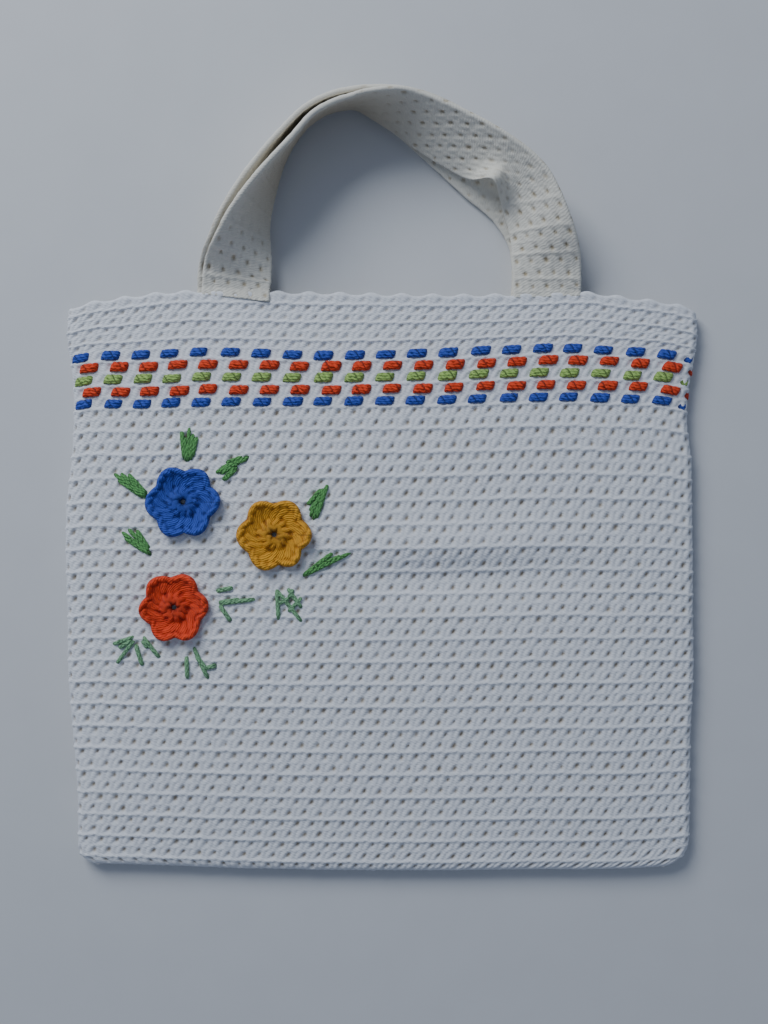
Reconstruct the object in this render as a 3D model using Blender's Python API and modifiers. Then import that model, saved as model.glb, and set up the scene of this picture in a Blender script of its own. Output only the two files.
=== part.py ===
# A crochet bag lying on its back: a flat pouch of two panels, two strap handles and three crochet flowers.
# Metres, +Z up, +Y towards the handles. The origin is the centre of the pouch's back, on the surface it lies on.

import math

import bmesh
import bpy
import numpy as np

# Pouch
POUCH_WIDTH = 0.304
POUCH_DEPTH = 0.276
WALL = 0.0026
EDGE_CURL = 0.0036
EDGE_STAND = 0.0005
CROWN = 0.0036
MOUTH_CROWN = 0.0018
LOWER_LEFT_CORNER = 0.010
LOWER_RIGHT_CORNER = 0.013

# Handles
HANDLE_WIDTH = 0.033
HANDLE_THICKNESS = 0.003
HANDLE_SPREAD = 0.1487
HANDLE_RISE = 0.0925
HANDLE_SHIFT = 0.0045
FOOT_FLAT = 0.0015
BUCKLE_HEIGHT = 0.009
BUCKLE_INSET = 0.010
BUCKLE_LENGTH = 0.009

# Flowers
FLOWER_WIDTH = 0.0355
FLOWER_THICKNESS = 0.0022
FLOWER_CUP = 0.0024
FLOWER_HOLE = 0.0042
FLOWER_NOTCH = 0.18

# Pieces that touch on the real bag keep this gap
CLEARANCE = 0.0003

# Mesh counts
CURL_STEPS = 3
HANDLE_STATIONS = 46
HANDLE_COLUMNS = 6
FLOWER_AROUND = 36
FLOWER_RINGS = 5

HALF_WIDTH = POUCH_WIDTH / 2
SEAM_HEIGHT = EDGE_CURL + EDGE_STAND + CLEARANCE / 2

# Side edges: how far up the pouch, then the reach to the left and right as shares of the half width
SIDE_LINE = (
    (0.00, 0.965, 0.973),
    (0.06, 0.962, 0.973),
    (0.14, 0.965, 0.975),
    (0.24, 0.979, 0.977),
    (0.35, 0.994, 0.986),
    (0.45, 0.996, 0.984),
    (0.56, 1.002, 0.984),
    (0.66, 0.998, 0.981),
    (0.73, 0.983, 0.979),
    (0.80, 0.976, 0.965),
    (0.86, 0.978, 0.971),
    (0.91, 0.987, 0.987),
    (0.96, 0.999, 0.999),
    (1.00, 0.990, 0.994),
)

# Mouth edge: place across as a share of the half width, then its drop as a share of the depth
MOUTH_LINE = (
    (-1.00, 0.026),
    (-0.93, 0.016),
    (-0.80, 0.005),
    (-0.67, -0.003),
    (-0.46, -0.004),
    (-0.22, -0.002),
    (0.05, 0.001),
    (0.27, 0.002),
    (0.49, 0.000),
    (0.65, -0.002),
    (0.78, 0.007),
    (0.90, 0.015),
    (1.00, 0.028),
)

# Bottom edge: place across, then its rise as a share of the depth
BOTTOM_LINE = (
    (-1.00, 0.012),
    (-0.75, 0.009),
    (-0.45, 0.003),
    (0.10, -0.001),
    (0.45, 0.001),
    (0.80, 0.003),
    (1.00, 0.011),
)

# Shallow folds of the front: across, up, slant in degrees, half length as a share of the pouch width,
# half breadth as a share of its depth, and depth as a share of the crown
FRONT_FOLDS = (
    (0.20, 0.545, 3.0, 0.200, 0.015, 0.22),
    (0.30, 0.530, 4.0, 0.160, 0.012, -0.10),
    (-0.62, 0.830, 8.0, 0.110, 0.020, 0.10),
)

# Back handle, foot to foot: place across as a share of the half spread, rise as a share of the handle's
# rise, lift of its inner edge off the ground as a share of the strap's thickness, and the strap's lean in
# degrees. Then the front handle set against it: slack between the two as a share of the slack at the
# feet, slide outwards as a share of the strap's width, and how many degrees further it leans.
HANDLE_SECTIONS = (
    (-1.045, 0.000, 0.03, 0, 1.00, -0.10, 0),
    (-1.035, 0.090, 0.05, 8, 0.95, -0.08, 0),
    (-1.005, 0.181, 0.10, 28, 0.80, -0.01, 2),
    (-0.948, 0.369, 0.15, 58, 0.60, 0.07, 3),
    (-0.852, 0.565, 0.20, 79, 0.55, 0.12, 3),
    (-0.722, 0.762, 0.25, 96, 0.50, 0.14, 2),
    (-0.533, 0.928, 0.30, 102, 0.36, 0.15, 0),
    (-0.378, 0.986, 0.30, 102, 0.24, 0.15, 0),
    (-0.220, 1.000, 0.30, 98, 0.18, 0.15, 0),
    (-0.080, 0.968, 0.20, 84, 0.18, 0.15, 0),
    (0.062, 0.925, 0.15, 68, 0.18, 0.14, 1),
    (0.207, 0.870, 0.12, 53, 0.20, 0.13, 6),
    (0.351, 0.805, 0.12, 40, 0.22, 0.15, 13),
    (0.602, 0.652, 0.12, 26, 0.20, 0.23, 21),
    (0.820, 0.500, 0.12, 24, 0.28, 0.20, 17),
    (0.965, 0.313, 0.10, 17, 0.80, 0.07, 15),
    (1.004, 0.112, 0.05, 5, 1.00, 0.00, 2),
    (1.000, 0.000, 0.03, 0, 1.00, 0.00, 0),
)

# Where the front handle's inner edge buckles up, as a share of the handle's length
BUCKLE_PLACE = 0.765

# Flowers: node name, place across and up as shares of half width and half depth, size as a share of the
# flower width, and the directions of the petals
FLOWERS = (
    ("flower_blue", -0.621, 0.283, 1.00, (3, 56, 116, 183, 247, 298)),
    ("flower_yellow", -0.336, 0.171, 1.00, (-3, 60, 121, 180, 251, 305)),
    ("flower_red", -0.649, -0.079, 0.95, (6, 61, 130, 187, 245, 300)),
)

# Height of a flower from its hole to its rim: share of the way out, then share of the cup
CUP_PROFILE = (
    (0.00, 0.30),
    (0.22, 0.00),
    (0.50, 0.12),
    (0.80, 0.80),
    (1.00, 1.00),
)

COLOURS = {
    "front_panel": (0.86, 0.86, 0.85),
    "back_panel": (0.85, 0.85, 0.84),
    "handle_front": (0.85, 0.84, 0.81),
    "handle_back": (0.84, 0.83, 0.80),
    "flower_blue": (0.03, 0.09, 0.42),
    "flower_yellow": (0.72, 0.36, 0.03),
    "flower_red": (0.75, 0.07, 0.02),
}


def curve_through(table, places):
    # Every column of the table as a smooth curve over its first column, read at the given places
    rows = np.array(table, dtype=float)
    key, values = rows[:, 0], rows[:, 1:]
    slopes = np.gradient(values, key, axis=0)
    places = np.clip(np.asarray(places, dtype=float), key[0], key[-1])
    left = np.clip(np.searchsorted(key, places, side="right") - 1, 0, len(key) - 2)
    span = key[left + 1] - key[left]
    share = ((places - key[left]) / span)[:, None]
    span = span[:, None]
    start = (1 + 2 * share) * (1 - share) ** 2
    end = share ** 2 * (3 - 2 * share)
    leave = share * (1 - share) ** 2 * span
    arrive = share ** 2 * (share - 1) * span
    return start * values[left] + end * values[left + 1] + leave * slopes[left] + arrive * slopes[left + 1]


def mouth_y(x):
    drop = curve_through(MOUTH_LINE, [x / HALF_WIDTH])[0, 0]
    return POUCH_DEPTH * (0.5 - drop)


def bottom_y(x):
    rise = curve_through(BOTTOM_LINE, [x / HALF_WIDTH])[0, 0]
    return POUCH_DEPTH * (rise - 0.5)


def side_reach(up):
    left, right = curve_through(SIDE_LINE, [up])[0]
    return HALF_WIDTH * left, HALF_WIDTH * right


def corner_cut(radius, above_bottom):
    # How far a rounded lower corner stands inside the side line at this height above the bottom
    if above_bottom >= radius:
        return 0.0
    return radius - math.sqrt(radius ** 2 - (radius - above_bottom) ** 2)


def edge_distance(above_bottom, from_side, radius):
    # Distance to the outline, round the lower corner as well as along the straight edges
    if above_bottom < radius and from_side < radius:
        return max(radius - math.hypot(radius - above_bottom, radius - from_side), 0.0)
    return max(min(above_bottom, from_side), 0.0)


def curl_height(distance):
    inside = EDGE_CURL - min(distance, EDGE_CURL)
    return math.sqrt(EDGE_CURL ** 2 - inside ** 2)


def front_crown(across, up):
    # Nearly level over the middle and down to nothing at the sides and bottom
    rise = 1 - (1 - up) ** 8
    towards_mouth = max(0.0, (up - 0.72) / 0.28)
    level = CROWN + (MOUTH_CROWN - CROWN) * towards_mouth ** 2 * (3 - 2 * towards_mouth)
    height = level * (1 - min(abs(across), 1.0) ** 6) * rise
    for place, fold_up, slant, half_length, half_breadth, depth in FRONT_FOLDS:
        along = (across - place) * HALF_WIDTH
        over = (up - fold_up) * POUCH_DEPTH
        turn = math.radians(slant)
        run = (along * math.cos(turn) + over * math.sin(turn)) / (half_length * POUCH_WIDTH)
        off = (over * math.cos(turn) - along * math.sin(turn)) / (half_breadth * POUCH_DEPTH)
        height -= depth * CROWN * math.exp(-run ** 2 * 1.5 - off ** 2)
    return height


def panel_height(x, y, side):
    # Height of a panel's outer face above the ground: side is 1 for the front and -1 for the back
    floor_line = bottom_y(x)
    up = (y - floor_line) / (mouth_y(x) - floor_line)
    left, right = side_reach(up)
    radius = LOWER_LEFT_CORNER if x < 0 else LOWER_RIGHT_CORNER
    from_side = x + left if x < 0 else right - x
    distance = edge_distance(y - floor_line, from_side, radius)
    out = EDGE_STAND + CLEARANCE / 2 + curl_height(distance)
    if side > 0:
        out += front_crown(x / HALF_WIDTH, up)
    return SEAM_HEIGHT + side * out


def curl_offsets():
    return [EDGE_CURL * (1 - math.cos(math.pi / 2 * step / CURL_STEPS)) for step in range(CURL_STEPS + 1)]


def column_offsets(width, middle_columns):
    edge = curl_offsets()
    middle = np.linspace(edge[-1], width - edge[-1], middle_columns + 1)[1:-1]
    return edge + list(middle) + [width - offset for offset in reversed(edge)]


def row_offsets(middle_rows):
    edge = curl_offsets()
    corner = max(LOWER_LEFT_CORNER, LOWER_RIGHT_CORNER)
    low = list(np.linspace(edge[-1], corner, 4)[1:])
    return edge + low + list(np.linspace(corner, POUCH_DEPTH, middle_rows + 1)[1:])


def make_object(name, mesh_data, collection):
    mesh = bpy.data.meshes.new(name)
    mesh_data.to_mesh(mesh)
    mesh_data.free()
    mesh.shade_smooth()
    piece = bpy.data.objects.new(name, mesh)
    collection.objects.link(piece)
    material = bpy.data.materials.new(name)
    material.use_nodes = True
    shader = material.node_tree.nodes["Principled BSDF"]
    shader.inputs["Base Color"].default_value = (*COLOURS[name], 1.0)
    shader.inputs["Roughness"].default_value = 0.9
    shader.inputs["Metallic"].default_value = 0.0
    mesh.materials.append(material)
    return piece


def thicken(piece, thickness, offset):
    solidify = piece.modifiers.new("Thickness", "SOLIDIFY")
    solidify.thickness = thickness
    solidify.offset = offset
    solidify.use_quality_normals = True


def make_panel(name, collection, side, middle_columns, middle_rows):
    rows = row_offsets(middle_rows)
    columns = 2 * CURL_STEPS + middle_columns
    sheet = bmesh.new()
    bmesh.ops.create_grid(sheet, x_segments=columns, y_segments=len(rows) - 1, size=1.0)
    edge_points = set()
    for point in sheet.verts:
        column = round((point.co.x + 1) / 2 * columns)
        row = round((point.co.y + 1) / 2 * (len(rows) - 1))
        above = rows[row]
        up = above / POUCH_DEPTH
        left, right = side_reach(up)
        start = -left + corner_cut(LOWER_LEFT_CORNER, above)
        end = right - corner_cut(LOWER_RIGHT_CORNER, above)
        x = start + column_offsets(end - start, middle_columns)[column]
        y = bottom_y(x) + up * (mouth_y(x) - bottom_y(x))
        on_edge = row == 0 or column in (0, columns)
        point.co = (x, y, panel_height(x, y, side))
        if on_edge:
            edge_points.add(point)
            point.co.z = SEAM_HEIGHT + side * (EDGE_STAND + CLEARANCE / 2)
    rim = [edge for edge in sheet.edges if edge.is_boundary and all(end in edge_points for end in edge.verts)]
    added = bmesh.ops.extrude_edge_only(sheet, edges=rim)["geom"]
    for item in added:
        if isinstance(item, bmesh.types.BMVert):
            item.co.z = SEAM_HEIGHT + side * CLEARANCE / 2
    bmesh.ops.recalc_face_normals(sheet, faces=sheet.faces)
    if side * sum(face.normal.z * face.calc_area() for face in sheet.faces) < 0:
        bmesh.ops.reverse_faces(sheet, faces=sheet.faces)
    panel = make_object(name, sheet, collection)
    thicken(panel, WALL, -1.0)
    return panel


def handle_rows():
    # Even stations along the back handle: its centre in plan, then the other columns of the table
    table = np.array(HANDLE_SECTIONS, dtype=float)
    plan = np.stack([HANDLE_SHIFT + table[:, 0] * HANDLE_SPREAD / 2, table[:, 1] * HANDLE_RISE], axis=1)
    run = np.concatenate([[0.0], np.cumsum(np.linalg.norm(np.diff(plan, axis=0), axis=1))])
    keyed = np.column_stack([run / run[-1], plan, table[:, 2:]])
    shares = np.linspace(0.0, 1.0, HANDLE_STATIONS + 1)
    rows = curve_through(keyed, shares)
    along = np.gradient(rows[:, :2], axis=0)
    along[0] = (0.0, 1.0)
    along[-1] = (0.0, -1.0)
    along /= np.linalg.norm(along, axis=1)[:, None]
    outward = np.stack([-along[:, 1], along[:, 0]], axis=1)
    return shares, rows, outward


def front_foot_height():
    # The front strap's middle where it stands on the front panel's mouth edge
    x = HANDLE_SHIFT - HANDLE_SPREAD / 2
    return panel_height(x, mouth_y(x), 1) - WALL / 2


def handle_section(row, outward):
    # The back strap's inner edge, its direction across and its face, from one row of the table
    x, y, lift, lean = row[:4]
    lean = math.radians(lean)
    across = np.array([outward[0] * math.cos(lean), outward[1] * math.cos(lean), math.sin(lean)])
    face = np.array([-outward[0] * math.sin(lean), -outward[1] * math.sin(lean), math.cos(lean)])
    low = HANDLE_THICKNESS * (abs(math.cos(lean)) / 2 + lift)
    centre = np.array([x, y, low + HANDLE_WIDTH / 2 * math.sin(lean)])
    return centre - across * HANDLE_WIDTH / 2, across, face


def front_section(row, outward):
    # The front strap lies on the back strap's face, slid outwards and leaning further
    edge, across, face = handle_section(row, outward)
    slack, slide, further = row[4:7]
    foot_slack = front_foot_height() - HANDLE_THICKNESS * (0.5 + HANDLE_SECTIONS[0][2]) - HANDLE_THICKNESS
    edge = edge + face * (HANDLE_THICKNESS + slack * foot_slack) + across * slide * HANDLE_WIDTH
    turn = math.radians(further)
    turned = across * math.cos(turn) + face * math.sin(turn)
    turned_face = face * math.cos(turn) - across * math.sin(turn)
    return edge, turned, turned_face


def make_handle(name, collection, section, buckled):
    shares, rows, outward = handle_rows()
    length = HANDLE_SPREAD / 2 * math.pi
    strap = bmesh.new()
    bmesh.ops.create_grid(strap, x_segments=HANDLE_STATIONS, y_segments=HANDLE_COLUMNS, size=1.0)
    foot_points = set()
    for point in strap.verts:
        station = round((point.co.x + 1) / 2 * HANDLE_STATIONS)
        share = (point.co.y + 1) / 2
        edge, across, face = section(rows[station], outward[station])
        place = edge + across * share * HANDLE_WIDTH
        if buckled:
            along = (shares[station] - BUCKLE_PLACE) * length / BUCKLE_LENGTH
            bulge = math.exp(-along ** 2 - (share * HANDLE_WIDTH / BUCKLE_LENGTH) ** 2)
            place = place + face * BUCKLE_HEIGHT * bulge + across * BUCKLE_INSET * bulge
        near_foot = max(0.0, 1 - min(station, HANDLE_STATIONS - station) / 4)
        foot_y = mouth_y(place[0]) + CLEARANCE + FOOT_FLAT
        place[1] += foot_y * near_foot + (1 - near_foot) * POUCH_DEPTH / 2
        point.co = place
        if station in (0, HANDLE_STATIONS):
            foot_points.add(point)
    ends = [edge for edge in strap.edges if all(end in foot_points for end in edge.verts)]
    for item in bmesh.ops.extrude_edge_only(strap, edges=ends)["geom"]:
        if isinstance(item, bmesh.types.BMVert):
            item.co.y -= FOOT_FLAT
    bmesh.ops.recalc_face_normals(strap, faces=strap.faces)
    if sum(face.normal.z for face in strap.faces) < 0:
        bmesh.ops.reverse_faces(strap, faces=strap.faces)
    handle = make_object(name, strap, collection)
    thicken(handle, HANDLE_THICKNESS, 0.0)
    return handle


def flower_reach(angle, petals):
    # Distance from the flower's middle to its rim: a round lobe for each petal, with a notch between two
    turns = sorted(direction % 360 for direction in petals)
    turns = [turns[-1] - 360] + turns + [turns[0] + 360]
    degrees = math.degrees(angle) % 360
    for before, after in zip(turns[:-1], turns[1:]):
        if before <= degrees <= after:
            share = (degrees - before) / (after - before)
            from_notch = abs(2 * share - 1)
            lobe = math.sqrt(1 - (1 - from_notch) ** 2)
            return FLOWER_WIDTH / 2 * (1 - FLOWER_NOTCH * (1 - lobe))
    return FLOWER_WIDTH / 2


def make_flower(name, collection, across, up, size, petals):
    middle_x = across * HALF_WIDTH
    middle_y = up * POUCH_DEPTH / 2
    disc = bmesh.new()
    bmesh.ops.create_grid(disc, x_segments=FLOWER_AROUND, y_segments=FLOWER_RINGS, size=1.0)
    for point in disc.verts:
        angle = math.pi * (point.co.x + 1)
        share = (point.co.y + 1) / 2
        reach = flower_reach(angle, petals)
        radius = FLOWER_HOLE / 2 + (reach * size - FLOWER_HOLE / 2) * share
        x = middle_x + radius * math.cos(angle)
        y = middle_y + radius * math.sin(angle)
        lobe = 1 - (1 - reach / (FLOWER_WIDTH / 2)) / FLOWER_NOTCH * 0.45
        cup = curve_through(CUP_PROFILE, [share])[0, 0] * lobe * FLOWER_CUP
        point.co = (x, y, panel_height(x, y, 1) + CLEARANCE + max(cup, 0.0))
    bmesh.ops.remove_doubles(disc, verts=disc.verts, dist=0.00001)
    bmesh.ops.recalc_face_normals(disc, faces=disc.faces)
    if sum(face.normal.z for face in disc.faces) < 0:
        bmesh.ops.reverse_faces(disc, faces=disc.faces)
    flower = make_object(name, disc, collection)
    thicken(flower, FLOWER_THICKNESS, 1.0)
    return flower


def main():
    for old in list(bpy.data.objects):
        bpy.data.objects.remove(old, do_unlink=True)
    bag = bpy.data.collections.new("crochet_bag")
    bpy.context.scene.collection.children.link(bag)
    make_panel("front_panel", bag, 1, 22, 18)
    make_panel("back_panel", bag, -1, 12, 12)
    make_handle("handle_front", bag, front_section, True)
    make_handle("handle_back", bag, handle_section, False)
    for name, across, up, size, petals in FLOWERS:
        make_flower(name, bag, across, up, size, petals)


main()
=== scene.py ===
import math

import bpy
import numpy as np
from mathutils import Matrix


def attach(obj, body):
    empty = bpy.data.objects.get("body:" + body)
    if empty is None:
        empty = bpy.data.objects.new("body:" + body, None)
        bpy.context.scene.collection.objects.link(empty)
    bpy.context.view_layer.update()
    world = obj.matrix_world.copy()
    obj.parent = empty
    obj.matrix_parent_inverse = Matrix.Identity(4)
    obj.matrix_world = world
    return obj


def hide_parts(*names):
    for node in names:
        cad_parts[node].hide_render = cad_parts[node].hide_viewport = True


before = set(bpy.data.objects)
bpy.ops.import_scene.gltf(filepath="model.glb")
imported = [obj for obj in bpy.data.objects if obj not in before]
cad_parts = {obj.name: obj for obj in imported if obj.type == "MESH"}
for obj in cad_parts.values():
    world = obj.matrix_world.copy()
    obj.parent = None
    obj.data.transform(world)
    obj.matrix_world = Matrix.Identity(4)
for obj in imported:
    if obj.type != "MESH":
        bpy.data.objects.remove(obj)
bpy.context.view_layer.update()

# the pouch, in metres, as the solid model has it
pouch = {
    "width": 0.304,
    "depth": 0.276,
    "wall": 0.0026,
    "curl": 0.0036,
    "stand": 0.0005,
    "crown": 0.0036,
    "mouthCrown": 0.0018,
    "leftCorner": 0.010,
    "rightCorner": 0.013,
    "gap": 0.0003,
    "lip": 0.0014,
}

# side edges: up the pouch, reach left and right as shares of the half width
sideLine = [
    (0.00, 0.965, 0.973), (0.06, 0.962, 0.973), (0.14, 0.965, 0.975), (0.24, 0.979, 0.977),
    (0.35, 0.994, 0.986), (0.45, 0.996, 0.984), (0.56, 1.002, 0.984), (0.66, 0.998, 0.981),
    (0.73, 0.983, 0.979), (0.80, 0.976, 0.965), (0.86, 0.978, 0.971), (0.91, 0.987, 0.987),
    (0.96, 0.999, 0.999), (1.00, 0.990, 0.994),
]

# mouth edge: place across, drop as a share of the depth
mouthLine = [
    (-1.00, 0.026), (-0.93, 0.016), (-0.80, 0.005), (-0.67, -0.003), (-0.46, -0.004),
    (-0.22, -0.002), (0.05, 0.001), (0.27, 0.002), (0.49, 0.000), (0.65, -0.002),
    (0.78, 0.007), (0.90, 0.015), (1.00, 0.028),
]

# bottom edge: place across, rise as a share of the depth
bottomLine = [
    (-1.00, 0.012), (-0.75, 0.009), (-0.45, 0.003), (0.10, -0.001), (0.45, 0.001),
    (0.80, 0.003), (1.00, 0.011),
]

# shallow folds: across, up, slant, half length, half breadth, then depth and step as shares of the crown
frontFolds = [
    (0.23, 0.538, 1.0, 0.225, 0.045, 0.05, -1.30),
    (-0.62, 0.830, 8.0, 0.110, 0.020, 0.10, 0.0),
]

# the crochet: how many stitches and rows, and how finely each is shaped
crochet = {
    "stitches": 41.5,
    "firstRow": -0.5,
    "lastRow": 51.7,
    "fineAcross": 10,
    "fineUp": 8,
    "backAcross": 7,
    "backUp": 5,
    "pitDepth": 0.0011,
    "pitWide": 0.00073,
    "pitLong": 0.00102,
    "legHeight": 0.0010,
    "ridgeHeight": 0.0013,
}

# where each row lies: row, share of the way up the outside
rowLine = [
    (-0.5, 0.0), (0.5, 0.0190), (1.5, 0.0372), (14.5, 0.2882), (28.5, 0.5601), (40.5, 0.8040),
    (41.5, 0.8229), (45.5, 0.9019), (46.5, 0.9190), (47.5, 0.9345), (48.5, 0.9498),
    (49.5, 0.9650), (50.5, 0.9800), (51.7, 1.0),
]

# the band's lowest and highest row: place across, shares of the way up
bandRows = (41.5, 45.5)
bandLine = [
    (-1.00, 0.8285, 0.9150), (-0.90, 0.8262, 0.9112), (-0.82, 0.8200, 0.9052), (-0.745, 0.8153, 0.9021),
    (-0.667, 0.8140, 0.9000), (-0.589, 0.8149, 0.9017), (-0.45, 0.8165, 0.9013), (-0.19, 0.8193, 0.8994),
    (0.00, 0.8227, 0.9025), (0.20, 0.8253, 0.9071), (0.40, 0.8278, 0.9115), (0.50, 0.8279, 0.9118),
    (0.59, 0.8267, 0.9113), (0.686, 0.8262, 0.9099), (0.786, 0.8307, 0.9144), (0.87, 0.8322, 0.9159),
    (1.00, 0.8298, 0.9147),
]


def curveThrough(table, places):
    # every column of the table as a smooth curve over its first column
    rows = np.array(table, dtype=float)
    key = rows[:, 0]
    values = rows[:, 1:]
    slopes = np.gradient(values, key, axis=0)
    places = np.clip(np.asarray(places, dtype=float), key[0], key[-1])
    left = np.clip(np.searchsorted(key, places, side="right") - 1, 0, len(key) - 2)
    span = (key[left + 1] - key[left])[..., None]
    share = (places - key[left])[..., None] / span
    start = (1 + 2 * share) * (1 - share) ** 2
    end = share ** 2 * (3 - 2 * share)
    leave = share * (1 - share) ** 2 * span
    arrive = share ** 2 * (share - 1) * span
    found = start * values[left] + end * values[left + 1] + leave * slopes[left] + arrive * slopes[left + 1]
    return np.moveaxis(found, -1, 0)


def mouthY(x):
    return pouch["depth"] * (0.5 - curveThrough(mouthLine, x / (pouch["width"] / 2))[0])


def bottomY(x):
    return pouch["depth"] * (curveThrough(bottomLine, x / (pouch["width"] / 2))[0] - 0.5)


def cornerCut(radius, above):
    inside = np.clip(radius - above, 0.0, radius)
    return radius - np.sqrt(radius ** 2 - inside ** 2)


def edgeDistance(above, fromSide, radius):
    straight = np.maximum(np.minimum(above, fromSide), 0.0)
    rounded = np.maximum(radius - np.hypot(radius - above, radius - fromSide), 0.0)
    return np.where((above < radius) & (fromSide < radius), rounded, straight)


def crownHeight(across, up):
    towardsMouth = np.clip((up - 0.72) / 0.28, 0.0, 1.0)
    easing = towardsMouth ** 2 * (3 - 2 * towardsMouth)
    level = pouch["crown"] + (pouch["mouthCrown"] - pouch["crown"]) * easing
    height = level * (1 - np.clip(np.abs(across), 0, 1) ** 6) * (1 - (1 - up) ** 8)
    for place, foldUp, slant, halfLength, halfBreadth, depth, step in frontFolds:
        along = (across - place) * pouch["width"] / 2
        over = (up - foldUp) * pouch["depth"]
        turn = math.radians(slant)
        run = (along * math.cos(turn) + over * math.sin(turn)) / (halfLength * pouch["width"])
        off = (over * math.cos(turn) - along * math.sin(turn)) / (halfBreadth * pouch["depth"])
        height = height - (depth + step * off) * pouch["crown"] * np.exp(-run ** 2 * 1.5 - off ** 2)
    return height


def panelHeight(x, y, side, lowered=0.0):
    # height of a panel's outer face above the floor: side is 1 for the front, -1 for the back
    floorLine = bottomY(x)
    up = (y - floorLine) / (mouthY(x) - floorLine)
    left, right = curveThrough(sideLine, up) * pouch["width"] / 2
    radius = np.where(x < 0, pouch["leftCorner"], pouch["rightCorner"])
    fromSide = np.where(x < 0, x + left, right - x)
    distance = edgeDistance(y - floorLine, fromSide, radius)
    inside = pouch["curl"] - np.minimum(distance, pouch["curl"])
    out = pouch["stand"] - lowered + pouch["gap"] / 2 + np.sqrt(pouch["curl"] ** 2 - inside ** 2)
    if side > 0:
        out = out + crownHeight(x / (pouch["width"] / 2), up)
    return pouch["curl"] + pouch["stand"] + pouch["gap"] / 2 + side * out


def arcOffset(arc):
    # how far in from the edge a point lies, from its distance along the cloth
    turned = np.clip((arc - pouch["stand"]) / pouch["curl"], 0.0, math.pi / 2)
    beyond = np.maximum(arc - pouch["stand"] - pouch["curl"] * math.pi / 2, 0.0)
    return pouch["curl"] * (1 - np.cos(turned)) + beyond


def panelPoint(u, v, side):
    # a place on a panel from its stitch and row
    extra = pouch["curl"] * (math.pi / 2 - 1) + pouch["stand"]
    u, v = np.broadcast_arrays(np.asarray(u, dtype=float), np.asarray(v, dtype=float))
    share = curveThrough(rowLine, v)[0]
    low, high = curveThrough(rowLine, np.array(bandRows))[0]
    bandLow, bandHigh = curveThrough(bandLine, 2 * u / crochet["stitches"] - 1)
    within = bandLow + (bandHigh - bandLow) * (v - bandRows[0]) / (bandRows[1] - bandRows[0])
    above = 1 - (1 - share) * (1 - bandHigh) / (1 - high)
    share = np.where(v < bandRows[0], share * bandLow / low, np.where(v < bandRows[1], within, above))
    upArc = share * (pouch["depth"] - pouch["lip"] + extra)
    above = arcOffset(upArc)
    up = above / pouch["depth"]
    left, right = curveThrough(sideLine, up) * pouch["width"] / 2
    start = cornerCut(pouch["leftCorner"], above) - left
    end = right - cornerCut(pouch["rightCorner"], above)
    length = end - start + 2 * extra
    arc = u / crochet["stitches"] * length
    x = np.where(arc < length / 2, start + arcOffset(arc), end - arcOffset(length - arc))
    y = bottomY(x) + up * (mouthY(x) - bottomY(x))
    nearest = np.minimum(np.minimum(arc, length - arc), upArc)
    lowered = np.clip(pouch["stand"] - nearest, 0.0, pouch["stand"])
    return np.stack([x, y, panelHeight(x, y, side, lowered)], axis=-1)


def gridNormals(points, wrap=False):
    if wrap:
        across = np.roll(points, -1, axis=1) - np.roll(points, 1, axis=1)
    else:
        across = np.gradient(points, axis=1)
    along = np.gradient(points, axis=0)
    normals = np.cross(across, along)
    size = np.linalg.norm(normals, axis=-1, keepdims=True)
    return normals / np.maximum(size, 1e-12)


def dome(short, long, halfWide, halfLong):
    # a strand seen from above: rounded across, tapered along
    inside = 1 - (short / halfWide) ** 2 - (long / halfLong) ** 4
    return np.sqrt(np.clip(inside, 0.0, 1.0))


def turned(dx, dy, degrees):
    # distances across and along a strand that slants to the right as it rises
    angle = np.radians(degrees)
    return dx * np.cos(angle) - dy * np.sin(angle), dx * np.sin(angle) + dy * np.cos(angle)


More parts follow.
